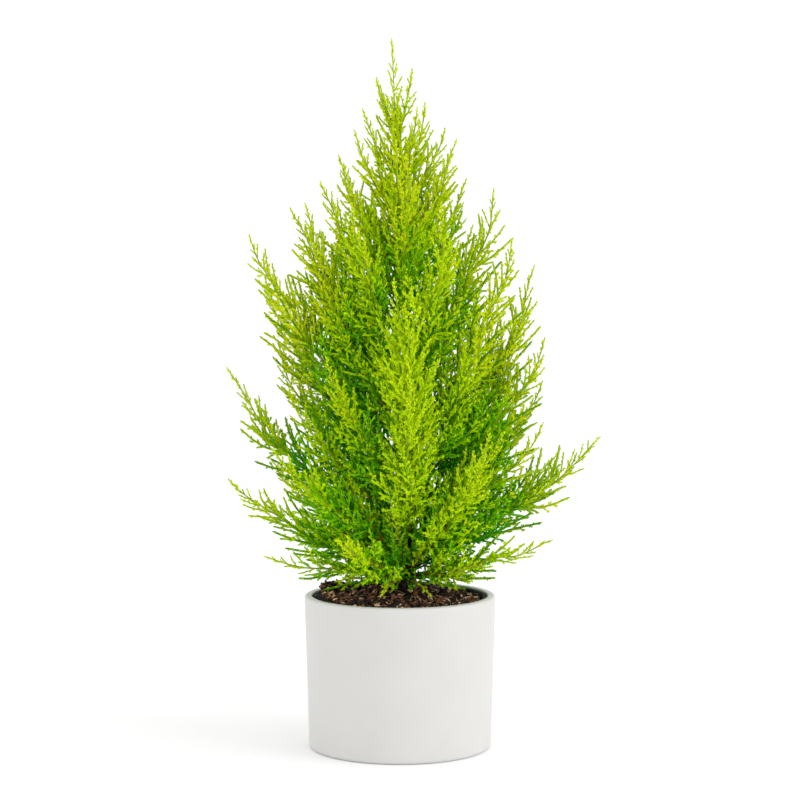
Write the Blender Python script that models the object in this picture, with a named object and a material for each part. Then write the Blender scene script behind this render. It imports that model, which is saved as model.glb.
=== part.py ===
"""Potted lemon cypress: a young garden conifer in a white glazed cylinder pot, at its real size.

Metres, +Z up. The origin is the centre of the pot's flat underside, -Y is the front and +X the right.
One trunk carries boughs and leafy sprays all round it. Each mass of foliage is one closed solid: a
stem with toothed shoots in a spiral round it, which get shorter towards its tip.
"""

import math
import random

import bmesh
import bpy
import numpy as np
from mathutils.bvhtree import BVHTree

SEED = 7
GAP = 0.0003  # between neighbours that touch on the real plant

# Pot: glazed ceramic cylinder with a slight taper and a rounded lip
POT_HEIGHT = 0.1416
POT_RIM_RADIUS = 0.089
POT_BASE_RADIUS = 0.085
POT_WALL = 0.0072
POT_FLOOR = 0.009
POT_FOOT_ROUNDING = 0.0035
POT_SIDES = 36

# Grow pot: the black plastic nursery pot that stands inside, with a rolled lip
LINER_HEIGHT = 0.1310
LINER_RIM_RADIUS = 0.0810
LINER_BASE_RADIUS = 0.066
LINER_WALL = 0.0014
LINER_LIP = 0.0026
LINER_EDGE = 0.0006
LINER_SIDES = 24

# Potting mix: a low mound, highest at the trunk, and higher at the left and behind than at the right
SOIL_EDGE_HEIGHT = 0.1386
SOIL_MOUND_HEIGHT = 0.1510
SOIL_MOUND_RADIUS = 0.060
SOIL_FALL_TO_RIGHT = 0.055
SOIL_RISE_TO_BACK = 0.034
SOIL_LUMP = 0.0016
SOIL_FLAT_RADIUS = 0.011
SOIL_RINGS = 6
SOIL_SIDES = 20

# Trunk: height, sideways and depth place of its centre line, and its radius
TRUNK_LINE = ((0.146, 0.0062, 0.002), (0.175, 0.0095, 0.0), (0.30, 0.0060, -0.002),
              (0.45, 0.0025, 0.0), (0.54, 0.0012, 0.001), (0.583, -0.0012, 0.0))
TRUNK_TOP = 0.583
TRUNK_RADIUS = 0.0043
TRUNK_TIP_RADIUS = 0.0010
ROOT_FLARE = 0.0034
ROOT_FLARE_HEIGHT = 0.010
TRUNK_SIDES = 8
TRUNK_RINGS = 15
CUTTER_DEPTH = 0.004

# Leader: the green shoot that carries the trunk on to the top of the tree
LEADER_TIP = (-0.0077, 0.0, 0.6545)

# Limbs: the height where each leaves the trunk, its bearing in degrees (0 is right, -90 the front),
# its tip's distance from the pot's middle, its tip's height, and its sag as a share of its length.
# Below zero the sag makes a limb arch over and droop to its tip.
# A bough is bare wood at its foot. A spray is in leaf nearly from the trunk.
BOUGHS = {
    "low_right": (0.166, -5, 0.186, 0.289, 0.045),
    "low_right_front": (0.176, -57, 0.148, 0.300, 0.08),
    "low_front_left": (0.163, -113, 0.146, 0.208, 0.04),
    "low_left_front": (0.182, -144, 0.140, 0.285, 0.07),
    "low_left": (0.168, -171, 0.160, 0.254, 0.08),
    "low_back_left": (0.172, 141, 0.166, 0.262, 0.07),
    "low_back_right": (0.168, 61, 0.166, 0.250, 0.07),
    "low_right_back": (0.180, 21, 0.163, 0.268, 0.07),
}
SPRAYS = {
    "skirt_right": (0.160, -24, 0.151, 0.198, 0.03),
    "skirt_front_right": (0.158, -45, 0.118, 0.181, 0.02),
    "skirt_left": (0.158, -160, 0.131, 0.182, 0.02),
    "skirt_back": (0.160, 103, 0.152, 0.214, 0.05),
    "collar_left": (0.157, -105, 0.077, 0.149, -0.06),
    "collar_right": (0.155, -66, 0.066, 0.150, -0.04),
    "low_heart_left": (0.170, -134, 0.066, 0.262, 0.09),
    "low_heart_right": (0.178, -36, 0.072, 0.282, 0.09),
    "low_heart_back": (0.176, 82, 0.068, 0.272, 0.09),
    "low_front": (0.186, -86, 0.115, 0.362, 0.13),
    "mid_left": (0.196, 177, 0.160, 0.351, 0.09),
    "mid_back_left": (0.200, 118, 0.156, 0.345, 0.09),
    "mid_back_right": (0.192, 44, 0.160, 0.352, 0.09),
    "right_outer": (0.222, -12, 0.137, 0.383, 0.08),
    "left_front_inner": (0.232, -128, 0.106, 0.368, 0.07),
    "left_back_outer": (0.252, 156, 0.143, 0.437, 0.08),
    "right_shoulder": (0.250, 11, 0.128, 0.446, 0.09),
    "front_right_inner": (0.244, -42, 0.104, 0.410, 0.07),
    "back_upper": (0.262, 86, 0.126, 0.424, 0.08),
    "left_shoulder": (0.284, -177, 0.140, 0.477, 0.06),
    "front_upper": (0.276, -92, 0.095, 0.438, 0.09),
    "right_front_shoulder": (0.290, -22, 0.111, 0.471, 0.08),
    "back_left_upper": (0.302, 124, 0.104, 0.478, 0.07),
    "back_right_upper": (0.310, 48, 0.104, 0.488, 0.07),
    "front_right_upper": (0.318, -62, 0.082, 0.503, 0.09),
    "left_upper": (0.336, 168, 0.103, 0.501, 0.06),
    "right_upper": (0.342, 3, 0.089, 0.520, 0.07),
    "front_left_upper": (0.352, -125, 0.074, 0.505, 0.07),
    "left_crown": (0.384, -168, 0.073, 0.526, 0.06),
    "right_crown": (0.398, 26, 0.068, 0.526, 0.06),
    "back_crown": (0.388, 96, 0.070, 0.536, 0.06),
    "front_crown": (0.412, -84, 0.055, 0.545, 0.06),
    "left_spire": (0.436, 156, 0.065, 0.550, 0.05),
    "right_spire": (0.450, -20, 0.054, 0.563, 0.05),
    "left_tip": (0.482, -160, 0.046, 0.569, 0.04),
    "right_tip": (0.498, 22, 0.046, 0.574, 0.04),
    "front_tip": (0.516, -60, 0.030, 0.590, 0.04),
    "top_left": (0.556, -165, 0.022, 0.618, 0.03),
    "top_right": (0.570, 25, 0.012, 0.628, 0.03),
}
BOUGH_BASE_RADIUS = 0.0024
BOUGH_END_RADIUS = 0.0014
BOUGH_SHARE = 0.14  # of the limb's length is bare bough
BOUGH_SIDES = 5
BOUGH_RINGS = 4
BARE_SHARE = 0.14  # of a spray's length bears no shoots
AXIS_STEPS = 120

# Stems: a dense core between a slim foot and a slim tip, kept narrow where other stems are close
STEM_CORE = 0.0032
STEM_TIP_RADIUS = 0.0009
STEM_ROOM = 0.42
STEM_SIDES = 4
STEM_RINGS = 5

# Shoots: longer the further each stands from the stem's tip, and so are the teeth of each shoot. A
# shoot stands for a whole branchlet of the real plant, and a tooth for one of its twigs.
TIP_SHOOT = 0.030
SHOOT_BASE = 0.005
SHOOT_GROWTH = 0.42
SHOOT_CAP = 0.062
SHOOT_CAP_SHARE = 0.36
SHOOT_LEAST = 0.010
SHOOT_ANGLE = math.radians(36)
SHOOT_LIFT = 0.20
SHOOT_RADIUS = 0.0017
SHOOT_TURN = math.radians(137.5)
SHOOT_FIRST = 0.016
SHOOT_STEP = 0.0160
SHOOT_STEP_GROWTH = 0.140
SIZE_SPREAD = 0.12
ROOT_DEPTH = 0.0025
TOOTH_SPACING = 0.0120
TOOTH_BASE = 0.0020
TOOTH_GROWTH = 0.46
TOOTH_CAP = 0.021
TOOTH_ANGLE = math.radians(37)
TOOTHED_RINGS = (2, 4)
FIRST_TOOTH = 0.6
LAST_TOOTH = 0.8

# Space: a shoot that doesn't fit is turned a little, then made shorter, then left out
OWN_SPACE = 1.8  # times the way to another stem is as far as a shoot goes from its own
CLEARANCE = 0.0006
RIM_MARGIN = 0.003
MIX_MARGIN = 0.003
LOWEST_SHOOT = 0.110
NUDGES = (0.0, 0.7, -0.7)
SHRINKS = (1.0, 0.8, 0.62, 0.46, 0.32)

UP = np.array((0.0, 0.0, 1.0))


def clear_scene():
    for item in list(bpy.data.objects):
        bpy.data.objects.remove(item)


def material(name, colour, roughness):
    made = bpy.data.materials.new(name)
    made.use_nodes = True
    surface = made.node_tree.nodes["Principled BSDF"]
    surface.inputs["Base Color"].default_value = (*colour, 1.0)
    surface.inputs["Roughness"].default_value = roughness
    made.diffuse_color = (*colour, 1.0)
    return made


def mesh_object(name, points, faces, finish):
    """A new object from points and faces, with its faces turned to point outwards."""
    mesh = bpy.data.meshes.new(name)
    mesh.from_pydata([tuple(p) for p in points], [], faces)
    shape = bmesh.new()
    shape.from_mesh(mesh)
    if shape.calc_volume(signed=True) < 0:
        bmesh.ops.reverse_faces(shape, faces=shape.faces)
    shape.to_mesh(mesh)
    shape.free()
    mesh.materials.append(finish)
    made = bpy.data.objects.new(name, mesh)
    bpy.context.scene.collection.objects.link(made)
    return made


def arc(centre_radius, centre_height, radius, start, end, steps):
    """Points of an arc in a profile. Angles are in degrees, and 0 points outwards."""
    angles = [math.radians(start + (end - start) * i / steps) for i in range(steps + 1)]
    return [(centre_radius + radius * math.cos(a), centre_height + radius * math.sin(a)) for a in angles]


def turned(name, profile, sides, finish):
    """Turns a profile of (radius, height) points about Z. Its two ends lie on the axis."""
    points = [(0.0, 0.0, profile[0][1])]
    for radius, height in profile[1:-1]:
        for k in range(sides):
            a = 2 * math.pi * k / sides
            points.append((radius * math.cos(a), radius * math.sin(a), height))
    points.append((0.0, 0.0, profile[-1][1]))
    last = len(points) - 1
    faces = []
    for k in range(sides):
        n = (k + 1) % sides
        faces.append((0, 1 + n, 1 + k))
        faces.append((last, last - sides + k, last - sides + n))
        for ring in range(len(profile) - 3):
            a = 1 + ring * sides
            faces.append((a + k, a + n, a + sides + n, a + sides + k))
    made = mesh_object(name, points, faces, finish)
    made.data.shade_smooth()
    made.data.set_sharp_from_angle(angle=math.radians(35))
    return made


def make_pot(finish):
    lip = POT_WALL / 2
    profile = [(0.0, 0.0)]
    profile += arc(POT_BASE_RADIUS - POT_FOOT_ROUNDING, POT_FOOT_ROUNDING, POT_FOOT_ROUNDING, -90, 0, 2)
    profile += arc(POT_RIM_RADIUS - lip, POT_HEIGHT - lip, lip, 0, 180, 4)
    profile += [(POT_BASE_RADIUS - POT_WALL, POT_FLOOR), (0.0, POT_FLOOR)]
    return turned("pot", profile, POT_SIDES, finish)


def liner_inner_radius(height):
    """Inner radius of the grow pot's tapering wall at a height, measured to its flats."""
    share = (height - POT_FLOOR) / (LINER_HEIGHT - LINER_LIP)
    outer = LINER_BASE_RADIUS + (LINER_RIM_RADIUS - LINER_LIP - LINER_BASE_RADIUS) * share
    return (outer - LINER_WALL) * math.cos(math.pi / LINER_SIDES)


def make_liner(finish):
    """Tapering cup with a rolled lip, standing on the pot's floor."""
    foot = POT_FLOOR + GAP
    top = foot + LINER_HEIGHT
    under_lip = top - LINER_LIP
    inside = LINER_RIM_RADIUS - LINER_LIP - LINER_WALL
    profile = [
        (0.0, foot),
        (LINER_BASE_RADIUS, foot),
        (LINER_RIM_RADIUS - LINER_LIP, under_lip),
        (LINER_RIM_RADIUS, under_lip),
        (LINER_RIM_RADIUS, top - LINER_EDGE),
        (LINER_RIM_RADIUS - LINER_EDGE, top),
        (inside, top),
        (inside, under_lip),
        (LINER_BASE_RADIUS - LINER_WALL, foot + LINER_WALL),
        (0.0, foot + LINER_WALL),
    ]
    return turned("grow_pot", profile, LINER_SIDES, finish)


def soil_height(x, y):
    """Height of the mound's smooth surface: a cosine hump at the trunk on a plane that falls to the
    right and rises to the back."""
    away = min(math.hypot(x, y) / SOIL_MOUND_RADIUS, 1.0)
    hump = 0.5 + 0.5 * math.cos(math.pi * away)
    plane = SOIL_EDGE_HEIGHT - SOIL_FALL_TO_RIGHT * x + SOIL_RISE_TO_BACK * y
    return plane + (SOIL_MOUND_HEIGHT - plane) * hump


def make_soil(finish):
    """A lumpy mound on a tapering plug that fills the grow pot, flat where the trunk stands."""
    draw = random.Random(SEED)
    middle = TRUNK_LINE[0][1:]
    foot = POT_FLOOR + LINER_WALL + 2 * GAP
    edge = liner_inner_radius(SOIL_EDGE_HEIGHT - LINER_LIP) - GAP
    points = [(*middle, SOIL_MOUND_HEIGHT)]
    for ring in range(SOIL_RINGS):
        share = ring / (SOIL_RINGS - 1)
        radius = SOIL_FLAT_RADIUS + (edge - SOIL_FLAT_RADIUS) * share
        for k in range(SOIL_SIDES):
            a = 2 * math.pi * (k + 0.5 * (ring % 2)) / SOIL_SIDES
            x = radius * math.cos(a) + middle[0] * (1 - share)
            y = radius * math.sin(a) + middle[1] * (1 - share)
            height = soil_height(x, y) if ring else SOIL_MOUND_HEIGHT
            if 0 < ring < SOIL_RINGS - 1:
                height += draw.uniform(-SOIL_LUMP, SOIL_LUMP)
            points.append((x, y, height))
    base = liner_inner_radius(foot) - GAP
    for k in range(SOIL_SIDES):
        a = 2 * math.pi * (k + 0.5 * ((SOIL_RINGS - 1) % 2)) / SOIL_SIDES
        points.append((base * math.cos(a), base * math.sin(a), foot))
    points.append((0.0, 0.0, foot))
    last = len(points) - 1
    faces = []
    for k in range(SOIL_SIDES):
        n = (k + 1) % SOIL_SIDES
        faces.append((0, 1 + k, 1 + n))
        faces.append((last, last - SOIL_SIDES + n, last - SOIL_SIDES + k))
        for ring in range(SOIL_RINGS):
            a = 1 + ring * SOIL_SIDES
            b = a + SOIL_SIDES
            if ring % 2 == 0 and ring < SOIL_RINGS - 1:
                faces += [(a + k, b + k, a + n), (a + n, b + k, b + n)]
            else:
                faces += [(a + k, b + k, b + n), (a + k, b + n, a + n)]
    return mesh_object("potting_mix", points, faces, finish)


def trunk_point(height):
    """Centre of the trunk at a height, on a smooth curve through the named places."""
    heights, across, deep = (np.array(c) for c in zip(*TRUNK_LINE))
    i = int(np.clip(np.searchsorted(heights, height) - 1, 0, len(heights) - 2))
    t = (height - heights[i]) / (heights[i + 1] - heights[i])
    place = []
    for values in (across, deep):
        slope_in = (values[i + 1] - values[max(i - 1, 0)]) / 2
        slope_out = (values[min(i + 2, len(values) - 1)] - values[i]) / 2
        place.append(
            (2 * t**3 - 3 * t**2 + 1) * values[i] + (t**3 - 2 * t**2 + t) * slope_in
            + (3 * t**2 - 2 * t**3) * values[i + 1] + (t**3 - t**2) * slope_out
        )
    return np.array((*place, height))


def trunk_radius(height):
    """Even taper from foot to top, with the root flare added at the soil."""
    share = np.clip((height - SOIL_MOUND_HEIGHT) / (TRUNK_TOP - SOIL_MOUND_HEIGHT), 0.0, 1.0)
    flare = ROOT_FLARE * math.exp(-max(height - SOIL_MOUND_HEIGHT, 0.0) / ROOT_FLARE_HEIGHT)
    return TRUNK_RADIUS + (TRUNK_TIP_RADIUS - TRUNK_RADIUS) * share + flare


def frames(path):
    """Unit tangents of a path, and two directions across it that don't twist."""
    tangents = np.gradient(path, axis=0)
    tangents /= np.linalg.norm(tangents, axis=1)[:, None]
    steep = abs(tangents[0][2]) > 0.9
    across = np.cross(tangents[0], (1.0, 0.0, 0.0) if steep else UP)
    sides = []
    for tangent in tangents:
        across = across - tangent * (across @ tangent)
        across /= np.linalg.norm(across)
        sides.append(across)
    sides = np.array(sides)
    return tangents, sides, np.cross(tangents, sides)


def tube(name, path, radii, sides, finish, pointed=False, level=False):
    """A round limb along a path, closed by a flat face at each end, or by a point at the far one. Its
    rings stand across the path, or lie level on an upright one."""
    _, first, second = frames(path)
    if level:
        first = np.tile((1.0, 0.0, 0.0), (len(path), 1))
        second = np.tile((0.0, 1.0, 0.0), (len(path), 1))
    angles = 2 * math.pi * np.arange(sides) / sides
    ring = np.cos(angles)[None, :, None] * first[:, None] + np.sin(angles)[None, :, None] * second[:, None]
    points = list((path[:, None] + ring * np.array(radii)[:, None, None]).reshape(-1, 3))
    count = len(path)
    if pointed:
        points = points[: (count - 1) * sides] + [path[-1]]
        count -= 1
    faces = [tuple(range(sides))[::-1]]
    for i in range(count - 1):
        for k in range(sides):
            n = (k + 1) % sides
            a = i * sides
            faces.append((a + k, a + n, a + sides + n, a + sides + k))
    end = (count - 1) * sides
    if pointed:
        faces += [(end + k, end + (k + 1) % sides, end + sides) for k in range(sides)]
    else:
        faces.append(tuple(end + k for k in range(sides)))
    return mesh_object(name, points, faces, finish)


def trunk_path():
    """Centres of the trunk's rings, from the soil up, closer together at the root flare."""
    foot = SOIL_MOUND_HEIGHT + GAP
    heights = foot + (TRUNK_TOP - foot) * np.linspace(0, 1, TRUNK_RINGS) ** 1.5
    return np.array([trunk_point(z) for z in heights])


def make_trunk(finish):
    path = trunk_path()
    return tube("trunk", path, [trunk_radius(z) for z in path[:, 2]], TRUNK_SIDES, finish, level=True)


def make_trunk_cutter(finish):
    """The trunk with the usual gap all round it, which cuts the limbs' feet to the bark's shape."""
    path = trunk_path()
    radii = [trunk_radius(z) + GAP for z in path[:, 2]]
    path[0, 2] -= CUTTER_DEPTH
    path[-1, 2] += GAP / 2
    cutter = tube("trunk_cutter", path, radii, TRUNK_SIDES, finish, level=True)
    cutter.hide_render = True
    cutter.display_type = "WIRE"
    return cutter


def evenly(curve):
    """The same curve with its points the same distance apart."""
    along = np.concatenate(([0], np.cumsum(np.linalg.norm(np.diff(curve, axis=0), axis=1))))
    wanted = np.linspace(0, along[-1], AXIS_STEPS)
    return np.column_stack([np.interp(wanted, along, curve[:, k]) for k in range(3)])


def limb_axis(joint, bearing, reach, tip_height, sag):
    """A limb's centre line: a parabola that leaves the trunk flatter than a straight line would and
    then turns up to its tip."""
    start = trunk_point(joint)
    a = math.radians(bearing)
    end = np.array((reach * math.cos(a), reach * math.sin(a), tip_height))
    chord = end - start
    down = np.cross(chord, np.cross(chord, UP))
    down /= np.linalg.norm(down)
    bend = (start + end) / 2 + down * 2 * sag * np.linalg.norm(chord)
    t = np.linspace(0, 1, AXIS_STEPS)[:, None]
    return evenly((1 - t) ** 2 * start + 2 * t * (1 - t) * bend + t**2 * end)


def leader_axis():
    start = trunk_point(TRUNK_TOP) + UP * GAP
    t = np.linspace(0, 1, AXIS_STEPS)[:, None]
    return start + t * (np.array(LEADER_TIP) - start)


def length_of(path):
    return float(np.linalg.norm(np.diff(path, axis=0), axis=1).sum())


def nearest(points, others):
    """Distance from each point to the nearest of the others."""
    return np.sqrt(((points[:, None] - others[None]) ** 2).sum(axis=2)).min(axis=1)


def stretch_of(path, start, end):
    """The stretch of an evenly spaced path between two shares of its length."""
    wanted = np.linspace(start, end, AXIS_STEPS) * (len(path) - 1)
    return np.column_stack([np.interp(wanted, np.arange(len(path)), path[:, k]) for k in range(3)])


def toothed_shoot(root, heading, length, turn, lift, spare=0.0):
    """A four-sided shoot that widens from a point sunk in its stem, curves up and ends in a point. At
    each ring two opposite corners are drawn out to teeth, a quarter turn on from the last pair."""
    rings = int(np.clip(round(length / TOOTH_SPACING), *TOOTHED_RINGS))
    along = length * (np.arange(rings) + FIRST_TOOTH) / (rings - 1 + FIRST_TOOTH + LAST_TOOTH)
    share = along / length
    path = root + heading * along[:, None] + UP * (lift * length * share**2)[:, None]
    tangents, first, second = frames(path)
    radii = SHOOT_RADIUS * (1.0 - 0.6 * share) + spare
    teeth = np.minimum(TOOTH_BASE + TOOTH_GROWTH * (length - along), TOOTH_CAP) + spare
    points = [root - heading * ROOT_DEPTH]
    for i in range(rings):
        for k in range(4):
            a = turn + math.pi / 2 * k
            outward = first[i] * math.cos(a) + second[i] * math.sin(a)
            if k % 2 == i % 2:
                reach = outward * math.sin(TOOTH_ANGLE) + tangents[i] * math.cos(TOOTH_ANGLE)
                points.append(path[i] + teeth[i] * reach)
            else:
                points.append(path[i] + outward * radii[i])
    points.append(root + heading * (length + spare) + UP * lift * length)
    faces = [(0, 1 + (k + 1) % 4, 1 + k) for k in range(4)]
    for i in range(rings - 1):
        for k in range(4):
            n = (k + 1) % 4
            a, b, c, d = 4 * i + 1 + k, 4 * i + 1 + n, 4 * i + 5 + n, 4 * i + 5 + k
            faces += [(a, b, c), (a, c, d)] if k % 2 != i % 2 else [(a, b, d), (b, c, d)]
    last = 4 * rings - 3
    faces += [(last + k, last + (k + 1) % 4, last + 4) for k in range(4)]
    return np.array(points), faces


class Taken:
    """The space that the trunk, the boughs and the shoots so far take up, each as a tree of faces."""

    def __init__(self):
        self.trees = []

    def add(self, owner, points, faces):
        centre = points.mean(axis=0)
        radius = np.linalg.norm(points - centre, axis=1).max()
        self.trees.append((owner, centre, radius, BVHTree.FromPolygons(points.tolist(), faces)))

    def add_object(self, owner, item):
        points = np.array([v.co for v in item.data.vertices])
        self.add(owner, points, [tuple(p.vertices) for p in item.data.polygons])

    def touches(self, owner, points, faces):
        """True if a shape cuts into one that isn't its owner's."""
        centre = points.mean(axis=0)
        radius = np.linalg.norm(points - centre, axis=1).max()
        shape = BVHTree.FromPolygons(points.tolist(), faces)
        for other, middle, size, tree in self.trees:
            near = np.linalg.norm(middle - centre) < radius + size
            if near and other != owner and shape.overlap(tree):
                return True
        return False


def lowest_foliage(x, y):
    """Height that foliage stays above: clear of the mix, of the two rims, or level with them outside."""
    away = math.hypot(x, y)
    if away < LINER_RIM_RADIUS - RIM_MARGIN - LINER_LIP:
        return soil_height(x, y) + MIX_MARGIN
    return POT_HEIGHT + RIM_MARGIN if away < POT_RIM_RADIUS + RIM_MARGIN else LOWEST_SHOOT


class Plume:
    """One mass of foliage as it grows: its stem's axis and radii, and the shoots that stand on it."""

    def __init__(self, name, axis, bare_share, foot_radius, others):
        self.name = name
        self.axis = axis
        self.others = others
        self.length = length_of(axis)
        self.bare = bare_share * self.length
        self.longest = min(SHOOT_CAP, SHOOT_CAP_SHARE * self.length)
        self.tangents, self.across, self.second = frames(axis)
        self.draw = random.Random(f"{SEED} {name}")
        self.turn = self.draw.uniform(0, 2 * math.pi)
        self.from_tip = SHOOT_FIRST

        shares = np.linspace(0, 1 - TIP_SHOOT / 2 / self.length, STEM_RINGS)
        self.stem_path = axis[np.round(shares * (AXIS_STEPS - 1)).astype(int)]
        slim = STEM_TIP_RADIUS + (foot_radius - STEM_TIP_RADIUS) * (1 - shares)
        core = STEM_CORE * np.sqrt(1 - shares)
        core[0] = 0.0
        room = STEM_ROOM * nearest(self.stem_path, others) - CLEARANCE
        self.stem_radii = np.maximum(slim, np.minimum(core, room))

        stretch = min(TIP_SHOOT / self.length, SHOOT_CAP_SHARE)
        root = axis[int((1 - stretch) * (AXIS_STEPS - 1))]
        heading = axis[-1] - root
        reach = float(np.linalg.norm(heading))
        self.shoots = [toothed_shoot(root, heading / reach, reach, self.turn, 0.0)]

    def make_stem(self, finish):
        name = "foliage_" + self.name
        return tube(name, self.stem_path, self.stem_radii, STEM_SIDES, finish, pointed=True)

    def unfinished(self):
        return self.length - self.from_tip > self.bare

    def grow(self, taken):
        """Adds the next shoot down the stem, turned or shortened to fit, or skips it."""
        spread = self.draw.uniform(-SIZE_SPREAD, SIZE_SPREAD)
        reach = min(SHOOT_BASE + SHOOT_GROWTH * self.from_tip, self.longest) * (1 + spread)
        angle = SHOOT_ANGLE * (1 + self.draw.uniform(-SIZE_SPREAD, SIZE_SPREAD))
        roll = self.draw.uniform(0, math.pi / 2)
        i = round((1 - self.from_tip / self.length) * (AXIS_STEPS - 1))
        for shrink in SHRINKS:
            for nudge in NUDGES:
                a = self.turn + nudge
                outward = self.across[i] * math.cos(a) + self.second[i] * math.sin(a)
                heading = self.tangents[i] * math.cos(angle) + outward * math.sin(angle)
                form = (self.axis[i], heading, reach * shrink, roll, SHOOT_LIFT)
                if reach * shrink > SHOOT_LEAST and self.fits(taken, *toothed_shoot(*form, CLEARANCE)):
                    self.shoots.append(toothed_shoot(*form))
                    taken.add(self.name, *self.shoots[-1])
                    break
            else:
                continue
            break
        self.turn += SHOOT_TURN
        self.from_tip += SHOOT_STEP + SHOOT_STEP_GROWTH * self.from_tip

    def fits(self, taken, points, faces):
        """True if a shoot keeps to the plume's own space, above the mix and the pot's rim, and clear
        of all that is there already."""
        outer = points[1:]
        if (nearest(outer, self.axis) > OWN_SPACE * nearest(outer, self.others)).any():
            return False
        if any(height < lowest_foliage(x, y) for x, y, height in outer):
            return False
        return not taken.touches(self.name, points, faces)


def settle(item):
    """Applies an object's modifiers and keeps its largest body: the others are scraps that stand
    loose, or the walls of sealed hollows."""
    graph = bpy.context.evaluated_depsgraph_get()
    mesh = bpy.data.meshes.new_from_object(item.evaluated_get(graph))
    item.modifiers.clear()
    item.data = mesh
    shape = bmesh.new()
    shape.from_mesh(mesh)
    left = set(shape.verts)
    bodies = []
    while left:
        body, edge = [], [left.pop()]
        while edge:
            vert = edge.pop()
            body.append(vert)
            for link in vert.link_edges:
                other = link.other_vert(vert)
                if other in left:
                    left.discard(other)
                    edge.append(other)
        bodies.append(body)
    bodies.sort(key=len)
    for body in bodies[:-1]:
        bmesh.ops.delete(shape, geom=body, context="VERTS")
    shape.to_mesh(mesh)
    shape.free()


def fuse(stem, shoots, finish):
    """Joins a plume's shoots to its stem by one Boolean union on a collection."""
    group = bpy.data.collections.new(stem.name + "_shoots")
    bpy.context.scene.collection.children.link(group)
    for n, (points, faces) in enumerate(shoots):
        item = mesh_object(f"{stem.name}_shoot_{n}", points, faces, finish)
        group.objects.link(item)
        bpy.context.scene.collection.objects.unlink(item)
    union = stem.modifiers.new("fuse", "BOOLEAN")
    union.operation = "UNION"
    union.solver = "MANIFOLD"
    union.operand_type = "COLLECTION"
    union.collection = group
    settle(stem)
    for item in list(group.objects):
        bpy.data.objects.remove(item)
    bpy.data.collections.remove(group)


def cut_clear(item, cutter):
    """Cuts an object back from the trunk, so that its foot follows the bark at the usual gap."""
    cut = item.modifiers.new("clear", "BOOLEAN")
    cut.operation = "DIFFERENCE"
    cut.solver = "EXACT"
    cut.object = cutter
    settle(item)


def make_bough(name, axis, cutter, finish):
    radii = np.linspace(BOUGH_BASE_RADIUS, BOUGH_END_RADIUS, BOUGH_RINGS)
    places = np.linspace(0, AXIS_STEPS - 1, BOUGH_RINGS).astype(int)
    path = stretch_of(axis, 0, BOUGH_SHARE)[places]
    bough = tube("bough_" + name, path, radii, BOUGH_SIDES, finish)
    cut_clear(bough, cutter)
    return bough


def make_plant(bark, lime, green):
    """The trunk, its boughs and all the foliage, which grows in turns so that each plume gets its
    share of the space between them."""
    make_trunk(bark)
    cutter = make_trunk_cutter(bark)
    taken = Taken()
    taken.add_object("trunk", cutter)
    sizes = {**BOUGHS, **SPRAYS}
    axes = {name: limb_axis(*values) for name, values in sizes.items()}
    axes["leader"] = leader_axis()
    heights = np.linspace(SOIL_MOUND_HEIGHT, TRUNK_TOP, AXIS_STEPS)
    trunk_line = np.array([trunk_point(z) for z in heights])

    plumes = []
    for name, axis in axes.items():
        others = np.concatenate([path for other, path in axes.items() if other != name])
        others = others[nearest(others, trunk_line) > trunk_radius(SOIL_MOUND_HEIGHT)]
        if name in BOUGHS:
            taken.add_object("bough", make_bough(name, axis, cutter, bark))
            leafy = stretch_of(axis, BOUGH_SHARE + GAP / length_of(axis), 1)
            plumes.append(Plume(name, leafy, 0.0, BOUGH_END_RADIUS, others))
        elif name in SPRAYS:
            foot_radius = min(BOUGH_END_RADIUS, 0.7 * trunk_radius(sizes[name][0]))
            plumes.append(Plume(name, axis, BARE_SHARE, foot_radius, others))
        else:
            plumes.append(Plume(name, axis, 0.0, TRUNK_TIP_RADIUS, others))

    stems = []
    for plume in plumes:
        shaded = "back" in plume.name or "inner" in plume.name or "heart" in plume.name
        stems.append(plume.make_stem(green if shaded else lime))
        taken.add_object(plume.name, stems[-1])
        taken.add(plume.name, *plume.shoots[0])
    while any(plume.unfinished() for plume in plumes):
        for plume in plumes:
            if plume.unfinished():
                plume.grow(taken)
    for plume, stem in zip(plumes, stems):
        fuse(stem, plume.shoots, stem.data.materials[0])
        if plume.name in SPRAYS:
            cut_clear(stem, cutter)


clear_scene()
make_pot(material("white_glaze", (0.78, 0.77, 0.75), 0.35))
make_liner(material("black_plastic", (0.012, 0.012, 0.013), 0.45))
make_soil(material("bark_mix", (0.055, 0.026, 0.013), 0.95))
make_plant(
    material("bark", (0.12, 0.05, 0.025), 0.85),
    material("lime_foliage", (0.33, 0.50, 0.012), 0.6),
    material("green_foliage", (0.09, 0.30, 0.006), 0.6),
)
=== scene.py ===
import math

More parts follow.
